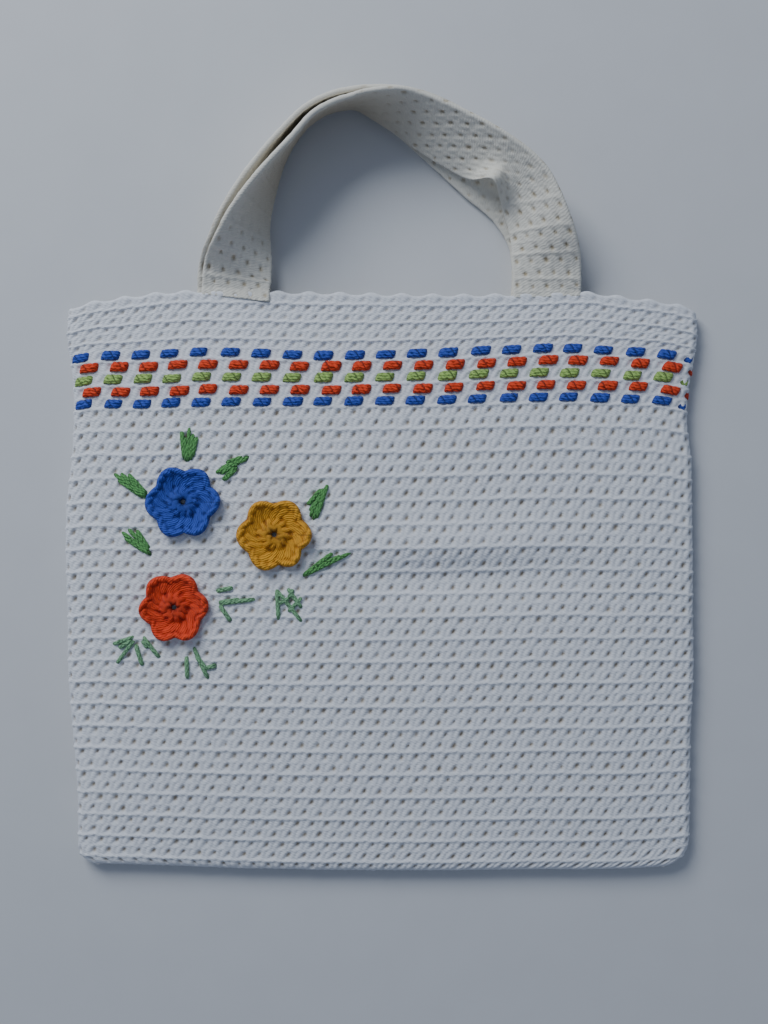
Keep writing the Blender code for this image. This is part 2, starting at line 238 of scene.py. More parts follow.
def crochetRelief(u, v, pitch, rowPitch, seed, pitShare, ridgeShare=1.0):
    # height of the yarn over the wall, and the painted shade each point gets for lying down in a hollow
    chance = np.random.default_rng(seed)
    uneven = chance.normal(0.0, 1.0, (96, 96, 5))
    height = np.full(u.shape, -0.0006)
    pits = np.zeros(u.shape)
    for step in (-1, 0, 1):
        row = np.floor(v).astype(int) + step
        even = row % 2 == 0
        shifted = u - np.where(even, 0.0, 0.5)
        column = np.round(shifted).astype(int)
        rough = uneven[row % 96, column % 96]
        dx = (shifted - column) * pitch + rough[..., 0] * 0.00022
        dy = (v - row - 0.5) * rowPitch + rough[..., 1] * 0.00022
        short, long = turned(dx, dy, np.where(even, 22.0, 34.0) + rough[..., 2] * 5)
        size = 1 + 0.13 * rough[..., 3]
        pit = np.exp(-(short / (crochet["pitWide"] * size)) ** 2 - (long / (crochet["pitLong"] * size)) ** 4)
        pits = np.maximum(pits, pit * np.clip(0.92 + 0.11 * rough[..., 4], 0.6, 1.1))
        # the two legs of the stitch between this hole and the next
        body = np.floor(shifted).astype(int)
        rough = uneven[(row + 31) % 96, (body + 17) % 96]
        dx = (shifted - body - 0.5) * pitch + rough[..., 0] * 0.00020
        dy = (v - row - 0.5) * rowPitch + rough[..., 1] * 0.00015
        for away, lean, tall in ((-0.00150, 12.0, 0.94), (0.00125, 30.0, 1.0)):
            short, long = turned(dx - away, dy, lean + rough[..., 2] * 3)
            leg = dome(short, long, 0.00175, 0.0037) ** 1.5 * tall * (1 + 0.06 * rough[..., 3])
            height = np.maximum(height, leg * crochet["legHeight"] - 0.0010)
        # the chain of loops along the top of the row stands out on every second row
        rough = uneven[(row + 57) % 96, (body + 43) % 96]
        dy = (v - row - 0.95) * rowPitch + 0.00018 * np.cos(2 * np.pi * shifted) + rough[..., 0] * 0.00010
        lift = np.where(even, crochet["ridgeHeight"] * ridgeShare, 0.0008) + rough[..., 1] * 0.00008
        for away in (-0.5, 0.0, 0.5):
            short, long = turned(dx - away * pitch, dy, 80.0)
            loop = dome(short, long, 0.0009, 0.0036) ** 1.3
            height = np.maximum(height, np.where(loop > 0, loop * lift - 0.0009, -0.01))
    pits = pits * pitShare
    height = height - pits * crochet["pitDepth"]
    # painted shade: full in the holes, and some where the yarn lies low between the legs and loops
    paintedShade = np.clip(pits + np.clip((-0.0002 - height) / 0.0022, 0, 1) * 0.3, 0.0, 1.0)
    return height, paintedShade


def gridFaces(rows, columns, start=0, wrap=False):
    r, c = np.meshgrid(np.arange(rows - 1), np.arange(columns if wrap else columns - 1), indexing="ij")
    after = (c + 1) % columns
    first = start + r * columns
    second = first + columns
    return np.stack([first + c, first + after, second + after, second + c], axis=-1).reshape(-1, 4)


def borderOf(rows, columns, start=0):
    # the rim of a grid, once round, with how far round each point is: a whole number at each corner
    bottom = [(start + c, c / (columns - 1)) for c in range(columns - 1)]
    right = [(start + r * columns + columns - 1, 1 + r / (rows - 1)) for r in range(rows - 1)]
    top = [(start + (rows - 1) * columns + c, 3 - c / (columns - 1)) for c in range(columns - 1, 0, -1)]
    left = [(start + r * columns, 4 - r / (rows - 1)) for r in range(rows - 1, 0, -1)]
    return bottom + right + top + left


def bridge(outer, inner):
    # triangles between two rims of different fineness
    faces = []
    i, j = 0, 0
    while i < len(outer) or j < len(inner):
        here, there = outer[i % len(outer)][0], inner[j % len(inner)][0]
        nextOuter = outer[i + 1][1] if i + 1 < len(outer) else 4.0
        nextInner = inner[j + 1][1] if j + 1 < len(inner) else 4.0
        if i < len(outer) and (j >= len(inner) or nextOuter <= nextInner):
            faces.append((here, there, outer[(i + 1) % len(outer)][0]))
            i += 1
        else:
            faces.append((here, there, inner[(j + 1) % len(inner)][0]))
            j += 1
    return faces


def makePiece(name, places, faces, material, uv=None, paintedShade=None, normals=None, instead=()):
    # nothing goes under the floor: yarn on the underside is pressed flat
    places[:, 2] = np.maximum(places[:, 2], 0.0)
    mesh = bpy.data.meshes.new(name)
    mesh.from_pydata(places.tolist(), [], faces)
    mesh.shade_smooth()
    corners = np.empty(len(mesh.loops), dtype=np.int32)
    mesh.loops.foreach_get("vertex_index", corners)
    if uv is not None:
        layer = mesh.uv_layers.new(name="yarn")
        layer.uv.foreach_set("vector", uv[corners].astype(np.float32).ravel())
    if paintedShade is not None:
        shade = mesh.attributes.new("paintedShade", "FLOAT", "POINT")
        shade.data.foreach_set("value", paintedShade.astype(np.float32).ravel())
    if normals is not None:
        mesh.normals_split_custom_set_from_vertices(normals.tolist())
    piece = bpy.data.objects.new(name, mesh)
    bpy.context.scene.collection.objects.link(piece)
    mesh.materials.append(material)
    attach(piece, "root")
    if instead:
        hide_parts(*instead)
    return piece


# camera straight above, as the photograph was taken
view = {"at": (0.00095, 0.0343, 0.559), "lens": 40.43}
eye = bpy.data.cameras.new("eye")
eye.lens = view["lens"]
eye.sensor_width = 36.0
eye.clip_start = 0.01
camera = bpy.data.objects.new("eye", eye)
camera.location = view["at"]
bpy.context.scene.collection.objects.link(camera)
bpy.context.scene.camera = camera
print("camera set")


class Wire:
    # a value in a material, so that sums can be written as sums
    def __init__(self, finish, socket):
        self.finish = finish
        self.socket = socket

    def sum(self, operation, first, second=0.0):
        return self.finish.node("ShaderNodeMath", {"operation": operation}, {0: first, 1: second}).out()

    def __add__(self, other):
        return self.sum("ADD", self, other)

    def __radd__(self, other):
        return self.sum("ADD", other, self)

    def __sub__(self, other):
        return self.sum("SUBTRACT", self, other)

    def __rsub__(self, other):
        return self.sum("SUBTRACT", other, self)

    def __mul__(self, other):
        return self.sum("MULTIPLY", self, other)

    def __rmul__(self, other):
        return self.sum("MULTIPLY", other, self)

    def sine(self):
        return self.sum("SINE", self)


class Made:
    # a node just made, and its outputs as wires
    def __init__(self, finish, node):
        self.finish = finish
        self.node = node

    def out(self, name=0):
        return Wire(self.finish, self.node.outputs[name])


class Finish:
    def __init__(self, name):
        self.material = bpy.data.materials.new(name)
        self.material.use_nodes = True
        self.tree = self.material.node_tree
        self.tree.nodes.clear()

    def node(self, kind, settings=None, sockets=None):
        made = self.tree.nodes.new(kind)
        for key, value in (settings or {}).items():
            setattr(made, key, value)
        for key, value in (sockets or {}).items():
            if isinstance(value, Wire):
                self.tree.links.new(value.socket, made.inputs[key])
            else:
                made.inputs[key].default_value = value
        return Made(self, made)

    def blend(self, factor, first, second):
        sockets = {0: factor, 6: first, 7: second}
        return self.node("ShaderNodeMix", {"data_type": "RGBA"}, sockets).out(2)


def cotton(name, look):
    # twisted cotton yarn: plies and fuzz in the bump; lighter with the fuzz and painted lighter on the crests of the
    # plies, and darkened by painted shade down in the hollows
    finish = Finish(name)
    place = finish.node("ShaderNodeTexCoord").out("Object")
    stitch = finish.node("ShaderNodeUVMap", {"uv_map": "yarn"}).out()
    parts = finish.node("ShaderNodeSeparateXYZ", {}, {0: stitch})
    across, along = parts.out(0), parts.out(1)
    cloud = finish.node("ShaderNodeTexNoise", {}, {"Vector": place, "Scale": look["cloud"], "Detail": 2.0}).out(0)
    fuzz = finish.node("ShaderNodeTexNoise", {}, {"Vector": place, "Scale": look["fuzz"], "Detail": 4.0}).out(0)
    wander = finish.node("ShaderNodeTexNoise", {}, {"Vector": place, "Scale": 420.0, "Detail": 1.0}).out(0)
    turn = math.radians(look["plySlant"])
    phase = across * (math.cos(turn) * look["plies"]) + along * (math.sin(turn) * look["plies"])
    ply = (phase + wander * 9.0).sine() * 0.5 + 0.5
    paintedShade = finish.node("ShaderNodeAttribute", {"attribute_name": "paintedShade"}).out("Fac")
    body = finish.blend(cloud, look["colour"], look["second"])
    # painted highlight and shade along the plies: lighter on their crests, darker in the grooves; the fuzz lightens
    # it at random
    fine = finish.blend(fuzz * 0.55 + ply * 0.22, body, look["light"])
    # painted shade, read from the mesh, pulls the colour towards the painted shade colour
    shade = finish.blend(paintedShade * look["paintedShadeStrength"], fine, look["paintedShadeColour"])
    rough = 0.78 + fuzz * 0.16
    bumpHeight = ply * look["plyDepth"] + fuzz * look["fuzzDepth"]
    bump = finish.node(
        "ShaderNodeBump", {}, {"Strength": look["bump"], "Distance": 0.0004, "Height": bumpHeight}
    ).out()
    shader = finish.node("ShaderNodeBsdfPrincipled", {}, {
        "Base Color": shade,
        "Roughness": rough,
        "Normal": bump,
        "Specular IOR Level": 0.25,
        "Sheen Weight": look["sheen"],
        "Sheen Roughness": 0.5,
    }).out()
    finish.node("ShaderNodeOutputMaterial", {}, {0: shader})
    return finish.material


whiteCotton = cotton("whiteCotton", {
    "colour": (0.735, 0.745, 0.79, 1.0), "second": (0.775, 0.775, 0.79, 1.0), "light": (0.81, 0.82, 0.86, 1.0),
    "paintedShadeColour": (0.34, 0.25, 0.13, 1.0), "paintedShadeStrength": 0.78, "cloud": 60.0, "fuzz": 2200.0, "plies": 5200.0,
    "plySlant": 62.0, "plyDepth": 0.5, "fuzzDepth": 0.7, "bump": 0.5, "sheen": 0.1,
})
strapCotton = cotton("strapCotton", {
    "colour": (0.71, 0.67, 0.58, 1.0), "second": (0.75, 0.71, 0.62, 1.0), "light": (0.80, 0.77, 0.69, 1.0),
    "paintedShadeColour": (0.30, 0.20, 0.06, 1.0), "paintedShadeStrength": 0.82, "cloud": 60.0, "fuzz": 2200.0, "plies": 5200.0,
    "plySlant": 62.0, "plyDepth": 0.5, "fuzzDepth": 0.7, "bump": 0.5, "sheen": 0.1,
})

# coloured yarns: name, body, second tone, light tone (for fuzz, and the painted highlight on the plies), painted
# shade colour
dyes = {
    "blueCotton": ((0.022, 0.055, 0.37), (0.032, 0.075, 0.46), (0.080, 0.160, 0.62), (0.007, 0.020, 0.16)),
    "yellowCotton": ((0.66, 0.27, 0.012), (0.74, 0.32, 0.020), (0.86, 0.44, 0.050), (0.32, 0.105, 0.005)),
    "redCotton": ((0.76, 0.036, 0.009), (0.84, 0.055, 0.014), (0.93, 0.115, 0.038), (0.34, 0.013, 0.005)),
    "limeCotton": ((0.24, 0.42, 0.070), (0.29, 0.50, 0.10), (0.54, 0.72, 0.25), (0.10, 0.20, 0.03)),
    "leafCotton": ((0.075, 0.27, 0.060), (0.095, 0.32, 0.080), (0.22, 0.50, 0.18), (0.025, 0.11, 0.02)),
    "paleLeafCotton": ((0.14, 0.34, 0.15), (0.18, 0.40, 0.20), (0.36, 0.60, 0.36), (0.07, 0.18, 0.07)),
}
dyed = {}
for name, (colour, second, light, paintedShadeColour) in dyes.items():
    dyed[name] = cotton(name, {
        "colour": colour + (1.0,), "second": second + (1.0,), "light": light + (1.0,), "paintedShadeColour": paintedShadeColour + (1.0,),
        "paintedShadeStrength": 0.75, "cloud": 150.0, "fuzz": 2600.0, "plies": 6500.0, "plySlant": 50.0, "plyDepth": 1.0,
        "fuzzDepth": 0.8, "bump": 0.9, "sheen": 0.06,
    })
print("yarns dyed")


def lipRows(points, normals, steps):
    # the mouth edge: the wall's half-round top, from the outer face to the inner one
    centre = points[-1] - normals[-1] * pouch["wall"] / 2
    along = points[-1] - points[-2]
    along = along / np.linalg.norm(along, axis=-1, keepdims=True)
    rows = []
    for step in range(1, steps + 1):
        angle = math.pi * step / steps
        out = normals[-1] * math.cos(angle) * pouch["wall"] / 2 + along * math.sin(angle) * pouch["lip"]
        rows.append(centre + out)
    return np.array(rows)


def knitPanel(side, fineAcross, fineUp, seed):
    # the outer face of one wall with its relief, from the bottom seam over the lip of the mouth
    columns = int(round(crochet["stitches"] * fineAcross)) + 1
    rows = int(round((crochet["lastRow"] - crochet["firstRow"]) * fineUp)) + 1
    u, v = np.meshgrid(
        np.linspace(0, crochet["stitches"], columns),
        np.linspace(crochet["firstRow"], crochet["lastRow"], rows),
    )
    points = panelPoint(u, v, side)
    normals = gridNormals(points) * side
    lip = lipRows(points, normals, 6)
    points = np.concatenate([points, lip])
    lastV = crochet["lastRow"] + np.arange(1, 7)[:, None] * np.full((1, columns), 0.12)
    u = np.concatenate([u, np.repeat(u[:1], 6, axis=0)])
    v = np.concatenate([v, lastV])
    normals = gridNormals(points) * side
    # the band's yarn fills the holes that it passes through, and the holes are smaller near the mouth
    filled = np.clip(np.minimum(v - 41.0, 46.0 - v) / 0.15, 0.0, 1.0)
    pitShare = (1 - 0.93 * filled) * (1 - 0.45 * np.clip((v - 46.0) / 0.3, 0.0, 1.0))
    relief, paintedShade = crochetRelief(u, v, pouch["width"] / crochet["stitches"], 0.0054, seed, pitShare)
    # small peaks along the mouth, one to two stitches, and a shallow dip on the seam
    fromMouth = np.clip((v - crochet["lastRow"] + 0.6) / 0.6, 0.0, 1.0)
    scallop = (0.5 + 0.5 * np.cos(np.pi * u)) ** 1.5 * fromMouth
    points[..., 1] += scallop * 0.0011
    relief = relief * (1 - 0.75 * fromMouth) + scallop * 0.0003
    paintedShade = paintedShade * (1 - 0.8 * fromMouth)
    fromSeam = np.minimum(np.minimum(u, crochet["stitches"] - u), v - crochet["firstRow"])
    relief = relief * np.clip(fromSeam / 0.25, 0.15, 1.0)
    if side < 0:
        relief = relief - 0.0006 * np.clip(fromSeam, 0.0, 1.0)
    points = points + normals * relief[..., None]
    return u, v, points, paintedShade


def closedPanel(name, u, v, points, paintedShade, side, innerColumns, innerRows, normals):
    # the inner face follows the outer one at the wall's thickness, and both are joined round the rim
    rows, columns = u.shape
    topRow = min(v[-1, 0], crochet["lastRow"])
    innerU, innerV = np.meshgrid(np.linspace(0, crochet["stitches"], innerColumns), np.linspace(v[0, 0], topRow, innerRows))
    base = panelPoint(innerU, innerV, side)
    inward = gridNormals(base) * side
    inner = base - inward * pouch["wall"]
    faces = gridFaces(rows, columns)
    innerFaces = gridFaces(innerRows, innerColumns, start=rows * columns)[:, ::-1]
    rim = np.array(bridge(borderOf(rows, columns), borderOf(innerRows, innerColumns, rows * columns)))
    if side < 0:
        faces = faces[:, ::-1]
        innerFaces = innerFaces[:, ::-1]
        rim = rim[:, ::-1]
    places = np.concatenate([points.reshape(-1, 3), inner.reshape(-1, 3)])
    uv = np.concatenate([
        np.stack([u, v], axis=-1).reshape(-1, 2),
        np.stack([innerU, innerV], axis=-1).reshape(-1, 2),
    ]) * (0.0073, 0.0054)
    # the inner face gets an even painted shade, as inside the pouch
    dark = np.concatenate([paintedShade.ravel(), np.full(innerU.size, 0.25)])
    bent = np.concatenate([normals.reshape(-1, 3), -inward.reshape(-1, 3)])
    allFaces = faces.tolist() + innerFaces.tolist() + rim.tolist()
    return makePiece(name, places, allFaces, whiteCotton, uv, dark, bent,
                     ("front_panel",) if side > 0 else ("back_panel",))


u, v, points, paintedShade = knitPanel(1, crochet["fineAcross"], crochet["fineUp"], 11)
normals = gridNormals(points)
split = int(round((26.0 - crochet["firstRow"]) * crochet["fineUp"]))
low = slice(0, split + 1)
high = slice(split, len(u))
closedPanel("front_lower", u[low], v[low], points[low], paintedShade[low], 1, 43, 22, normals[low])
closedPanel("front_upper", u[high], v[high], points[high], paintedShade[high], 1, 43, 22, normals[high])
print("front worked")

u, v, points, paintedShade = knitPanel(-1, crochet["backAcross"], crochet["backUp"], 23)
closedPanel("back_wall", u, v, points, paintedShade, -1, 43, 43, -gridNormals(points))
print("back worked")

# straps: outline and how they lie, as the solid model has them
strap = {
    "width": 0.033,
    "thickness": 0.003,
    "spread": 0.1487,
    "rise": 0.0925,
    "shift": 0.0045,
    "footFlat": 0.0015,
    "buckleHeight": 0.009,
    "buckleInset": 0.010,
    "buckleLength": 0.009,
    "bucklePlace": 0.765,
    "stitches": 5,
    "rowPitch": 0.0061,
    "fineAround": 9,
    "fineAlong": 8,
}

# across, rise, lift of the inner edge, lean, then slack, slide and further lean of the front strap
strapSections = [
    (-1.045, 0.000, 0.03, 0, 1.00, -0.10, 0), (-1.035, 0.090, 0.05, 8, 0.95, -0.08, 0),
    (-1.005, 0.181, 0.10, 28, 0.80, -0.01, 2), (-0.948, 0.369, 0.15, 58, 0.60, 0.07, 3),
    (-0.852, 0.565, 0.20, 79, 0.55, 0.12, 3), (-0.722, 0.762, 0.25, 96, 0.50, 0.14, 2),
    (-0.533, 0.928, 0.30, 102, 0.36, 0.15, 0), (-0.378, 0.986, 0.30, 102, 0.24, 0.15, 0),
    (-0.220, 1.000, 0.30, 98, 0.18, 0.15, 0), (-0.080, 0.968, 0.20, 84, 0.18, 0.15, 0),
    (0.062, 0.925, 0.15, 68, 0.18, 0.14, 1), (0.207, 0.870, 0.12, 53, 0.20, 0.13, 6),
    (0.351, 0.805, 0.12, 40, 0.22, 0.15, 13), (0.602, 0.652, 0.12, 26, 0.20, 0.23, 21),
    (0.820, 0.500, 0.12, 24, 0.28, 0.20, 17), (0.965, 0.313, 0.10, 17, 0.80, 0.07, 15),
    (1.004, 0.112, 0.05, 5, 1.00, 0.00, 2), (1.000, 0.000, 0.03, 0, 1.00, 0.00, 0),
]


# rows of slip: rows from the right foot, slip at the outer and at the inner edge
rowSlip = [
    (-1.0, 0.9, 0.9), (0.0, 0.9, 0.9), (2.0, 0.85, 1.1), (4.5, 0.3, 1.8), (7.0, 0.0, 2.3), (9.0, 0.0, 2.3),
    (10.6, 0.0, 0.0), (12.0, 0.0, 0.0), (60.0, 0.0, 0.0),
]

# along the strap from the left foot: how far the holes stand open
strapHoles = [
    (-0.05, 0.85), (0.08, 0.85), (0.14, 0.25), (0.22, 0.12), (0.42, 0.12), (0.50, 0.55), (0.58, 0.85),
    (0.72, 0.80), (0.77, 0.35), (0.82, 0.90), (1.05, 0.90),
]

# and how much warm painted shade lies on the inner face of the loop
strapPaintedShade = [
    (-0.05, 0.0), (0.07, 0.0), (0.14, 0.32), (0.22, 0.56), (0.42, 0.60), (0.50, 0.50), (0.60, 0.14), (0.66, 0.0),
    (1.05, 0.0),
]


def knitStrap(name, front, seed):
    table = np.array(strapSections, dtype=float)
    plan = np.stack([strap["shift"] + table[:, 0] * strap["spread"] / 2, table[:, 1] * strap["rise"]], axis=1)
    run = np.concatenate([[0.0], np.cumsum(np.linalg.norm(np.diff(plan, axis=0), axis=1))])
    keyed = np.column_stack([run / run[-1], plan, table[:, 2:]])
    rowCount = round(run[-1] / strap["rowPitch"])
    shares = np.linspace(0.0, 1.0, rowCount * strap["fineAlong"] + 1)
    x, y, lift, lean, slack, slide, further = curveThrough(keyed, shares)
    along = np.gradient(np.stack([x, y], axis=1), axis=0)
    along[0] = (0.0, 1.0)
    along[-1] = (0.0, -1.0)
    along /= np.linalg.norm(along, axis=1)[:, None]
    lean = np.radians(lean)
    outX, outY = -along[:, 1], along[:, 0]
    across = np.stack([outX * np.cos(lean), outY * np.cos(lean), np.sin(lean)], axis=1)
    face = np.stack([-outX * np.sin(lean), -outY * np.sin(lean), np.cos(lean)], axis=1)
    thick, wide = strap["thickness"], strap["width"]
    centre = np.stack([x, y, thick * (np.abs(np.cos(lean)) / 2 + lift) + wide / 2 * np.sin(lean)], axis=1)
    edge = centre - across * wide / 2
    if front:
        footX = np.array(strap["shift"] - strap["spread"] / 2)
        footHeight = float(panelHeight(footX, mouthY(footX), 1)) - pouch["wall"] / 2
        footSlack = footHeight - thick * (0.5 + strapSections[0][2]) - thick
        edge = edge + face * (thick + slack * footSlack)[:, None] + across * (slide * wide)[:, None]
        turn = np.radians(further)[:, None]
        across, face = across * np.cos(turn) + face * np.sin(turn), face * np.cos(turn) - across * np.sin(turn)
    # once round the strap's section: the upper face outwards, then the lower face back
    half = strap["stitches"] * strap["fineAround"]
    girth = wide - thick + math.pi * thick / 2
    path = np.linspace(0, girth, half, endpoint=False)
    quarter = math.pi * thick / 4
    turnIn = np.clip(path / (thick / 2), 0, math.pi / 2)
    turnOut = np.clip((girth - path) / (thick / 2), 0, math.pi / 2)
    p = np.where(path < girth / 2, thick / 2 * (1 - np.cos(turnIn)), wide - thick / 2 * (1 - np.cos(turnOut)))
    flat = np.clip(path - quarter, 0, wide - thick)
    p = np.where((path > quarter) & (path < girth - quarter), thick / 2 + flat, p)
    q = thick / 2 * np.sin(np.minimum(turnIn, turnOut))
    ringU = path / girth * strap["stitches"]
    p = np.concatenate([p, wide - p])
    q = np.concatenate([q, -q])
    ringU = np.concatenate([ringU, strap["stitches"] - ringU])
    base = edge[:, None, :] + across[:, None, :] * p[:, None] + face[:, None, :] * q[:, None]
    if front:
        length = strap["spread"] / 2 * math.pi
        off = (shares - strap["bucklePlace"]) * length
        bulge = np.exp(-(off[:, None] / strap["buckleLength"]) ** 2 - (p[None, :] / 0.012) ** 2)[..., None]
        base = base + (face[:, None, :] * strap["buckleHeight"] + across[:, None, :] * strap["buckleInset"]) * bulge
        # the inner edge kinks sharply in the middle of the bulge, over a hollow
        kink = np.exp(-((off[:, None] + 0.0025) / 0.0055) ** 2 - (p[None, :] / 0.014) ** 2)[..., None]
        base = base + (face[:, None, :] * 0.002 + across[:, None, :] * 0.0055) * kink
    nearFoot = np.clip(1 - np.minimum(shares, 1 - shares) * 46 / 4, 0.0, 1.0)[:, None]
    footY = mouthY(base[..., 0]) + pouch["gap"] + strap["footFlat"]
    base[..., 1] += footY * nearFoot + (1 - nearFoot) * pouch["depth"] / 2
    # the feet run on into the mouth edge, and the left one of the front strap a little over the front
    over = (1 - p / wide) ** 1.2 if front else np.zeros(len(p))
    far = 0.0028 + 0.0035 * over
    first, last = [], []
    steps = np.arange(1, 9) / 8
    for step in steps[::-1]:
        raised = 0.0014 * np.clip(step * far / 0.004, 0, 1) * over
        first.append(base[0] + np.stack([0 * p, -step * far, raised], axis=1))
    for step in steps:
        last.append(base[-1] - np.array([0.0, step * 0.003, 0.0]))
    base = np.concatenate([first, base, last])
    v = np.concatenate([
        -steps[::-1, None] * far / strap["rowPitch"],
        (shares * rowCount)[:, None] + 0 * p,
        rowCount + steps[:, None] * 0.003 / strap["rowPitch"] + 0 * p,
    ])
    u = np.broadcast_to(ringU, v.shape)
    normals = -gridNormals(base, wrap=True)
    placed = v / rowCount
    fromOuter = np.broadcast_to(1 - p / wide, v.shape)
    # towards the buckle the rows stay level, and its fold takes up what the inner edge has to spare
    if front:
        outer, inner = curveThrough(rowSlip, rowCount - v)
        v = v + outer + (inner - outer) * fromOuter
    # the ridges across the strap show near its feet, and fade where it is stretched over the top
    ridgeShare = 0.40 + 0.55 * np.clip((np.abs(placed - 0.52) - 0.24) / 0.08, 0.0, 1.0)
    pitShare = curveThrough(strapHoles, placed)[0]
    relief, paintedShade = crochetRelief(u, v, girth / strap["stitches"], strap["rowPitch"], seed, pitShare, ridgeShare)
    relief = relief * np.clip(np.minimum(p, wide - p) / 0.0032, 0.2, 1.0)
    # warm painted shade on the inner face of the loop
    upper = np.arange(2 * half) < half
    paintedStrapShade = curveThrough(strapPaintedShade, placed)[0] * (1 - (1 - fromOuter) ** 5) * upper
    paintedShade = np.maximum(paintedShade * 0.85, paintedStrapShade)
    points = base + normals * (relief * 0.8 - 0.0001)[..., None]
    rows, columns = u.shape
    faces = gridFaces(rows, columns, wrap=True)[:, ::-1].tolist()
    count = rows * columns
    caps = np.stack([points[0].mean(axis=0), points[-1].mean(axis=0)])
    for c in range(columns):
        after = (c + 1) % columns
        faces.append((count, c, after))
        faces.append((count + 1, count - columns + after, count - columns + c))
    places = np.concatenate([points.reshape(-1, 3), caps])
    uv = np.concatenate([np.stack([u, v], axis=-1).reshape(-1, 2), np.zeros((2, 2))]) * (0.0069, 0.0061)
    dark = np.concatenate([paintedShade.ravel(), [0.0, 0.0]])
    return makePiece(name, places, faces, strapCotton, uv, dark,
                     instead=("handle_front",) if front else ("handle_back",))


knitStrap("strap_front", True, 31)
knitStrap("strap_back", False, 47)
print("straps worked")

# flowers: place across and up, size, petal directions, finish
flower = {
    "width": 0.0355, "thickness": 0.0022, "cup": 0.0024, "hole": 0.0022, "notch": 0.16,
    "around": 264, "rings": 36,
}
flowers = [
    ("bloom_blue", -0.621, 0.283, 1.00, (3, 56, 116, 183, 247, 298), "blue_cotton", "flower_blue"),
    ("bloom_yellow", -0.336, 0.171, 1.00, (-3, 60, 121, 180, 251, 305), "yellow_cotton", "flower_yellow"),
    ("bloom_red", -0.649, -0.079, 0.95, (6, 61, 130, 187, 245, 300), "red_cotton", "flower_red"),
]
cupLine = [
    (0.00, 0.40), (0.14, 0.55), (0.28, 0.50), (0.42, 0.02), (0.58, 0.12), (0.78, 0.80), (0.90, 1.15), (1.00, 1.00),
]

# rounds of yarn, from the middle out: how many strands, their radius as a share of the flower's, half
# width and half length, slant, and height
flowerRounds = [
    (6, 0.20, 0.00145, 0.0026, 58.0, 0.0009),
    (12, 0.36, 0.00120, 0.0020, -24.0, 0.0007),
    (18, 0.62, 0.00165, 0.0034, -42.0, 0.0006),
    (24, 0.90, 0.00130, 0.0031, 62.0, 0.0010),
]


def petalShare(degrees, petals):
    # for each direction: the place in its petal from notch to notch, and the lobe's fullness
    middles = np.array(sorted(d % 360 for d in petals), dtype=float)
    middles = np.concatenate([[middles[-1] - 360], middles, [middles[0] + 360]])
    degrees = degrees % 360
    place = np.searchsorted(middles, degrees, side="right")
    before, after = middles[place - 1], middles[place]
    share = (degrees - before) / (after - before)
    within = np.where(share < 0.5, 0.5 + share, share - 0.5)
    return within, np.sin(np.pi * within) ** 1.2


